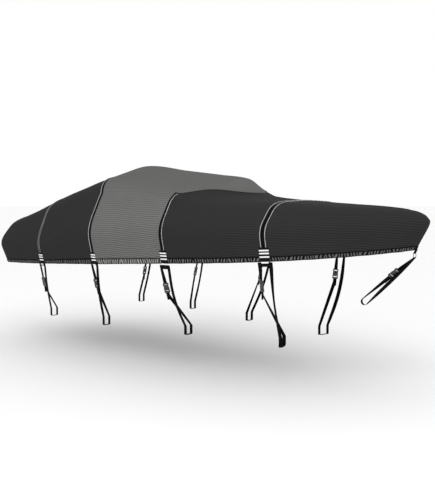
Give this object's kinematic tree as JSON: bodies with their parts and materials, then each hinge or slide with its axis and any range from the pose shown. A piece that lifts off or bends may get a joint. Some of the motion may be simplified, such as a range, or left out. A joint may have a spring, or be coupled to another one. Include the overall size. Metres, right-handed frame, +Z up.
{
  "type": "boat cover",
  "caption": "Fitted two-tone boat cover drawn taut over a V-hull, with a gathered hem, piped seams, striped tabs and buckled straps.",
  "frame": {"origin": "underside of the cloth at the highest point of the crown, where the support pole holds it", "axes": "+X to the bow, +Y to port, +Z up"},
  "size_m": [5.8216, 2.0698, 1.9561],
  "materials": {
    "dark_polyester": "matt woven",
    "grey_polyester": "matt woven",
    "black_webbing": "matt webbing",
    "tab_webbing": "matt webbing with reflective stripes",
    "pale_piping": "satin",
    "grey_piping": "satin",
    "buckle_plastic": "satin"
  },
  "bodies": {
    "root": {"stern_panel": "dark_polyester", "aft_panel": "dark_polyester", "fore_panel": "dark_polyester", "bow_panel": "dark_polyester", "crown_panel": "grey_polyester", "trim_a": "black_webbing", "trim_b": "black_webbing", "trim_c_starboard": "black_webbing", "trim_c_port": "black_webbing", "trim_d": "black_webbing", "piping_a_aft": "grey_piping", "piping_a_fore": "grey_piping", "piping_b_aft": "pale_piping", "piping_c_starboard": "pale_piping", "piping_c_port": "pale_piping", "screen_cord": "dark_polyester", "piping_d_aft": "pale_piping", "piping_d_fore": "pale_piping", "tab_a_starboard": "tab_webbing", "strap_a_starboard": "black_webbing", "socket_a_starboard": "buckle_plastic", "plug_a_starboard": "buckle_plastic", "tab_a_port": "tab_webbing", "strap_a_port": "black_webbing", "socket_a_port": "buckle_plastic", "plug_a_port": "buckle_plastic", "tab_b_starboard": "tab_webbing", "strap_b_starboard": "black_webbing", "socket_b_starboard": "buckle_plastic", "plug_b_starboard": "buckle_plastic", "tab_b_port": "tab_webbing", "strap_b_port": "black_webbing", "socket_b_port": "buckle_plastic", "plug_b_port": "buckle_plastic", "tab_c_starboard": "tab_webbing", "strap_c_starboard": "black_webbing", "socket_c_starboard": "buckle_plastic", "plug_c_starboard": "buckle_plastic", "tab_c_port": "tab_webbing", "strap_c_port": "black_webbing", "socket_c_port": "buckle_plastic", "plug_c_port": "buckle_plastic", "tab_d_starboard": "tab_webbing", "strap_d_starboard": "black_webbing", "socket_d_starboard": "buckle_plastic", "plug_d_starboard": "buckle_plastic", "tab_d_port": "tab_webbing", "strap_d_port": "black_webbing", "socket_d_port": "buckle_plastic", "plug_d_port": "buckle_plastic", "bow_tab": "tab_webbing", "bow_ring": "buckle_plastic", "strap_bow": "black_webbing", "socket_bow": "buckle_plastic", "plug_bow": "buckle_plastic"}
  },
  "joints": []
}
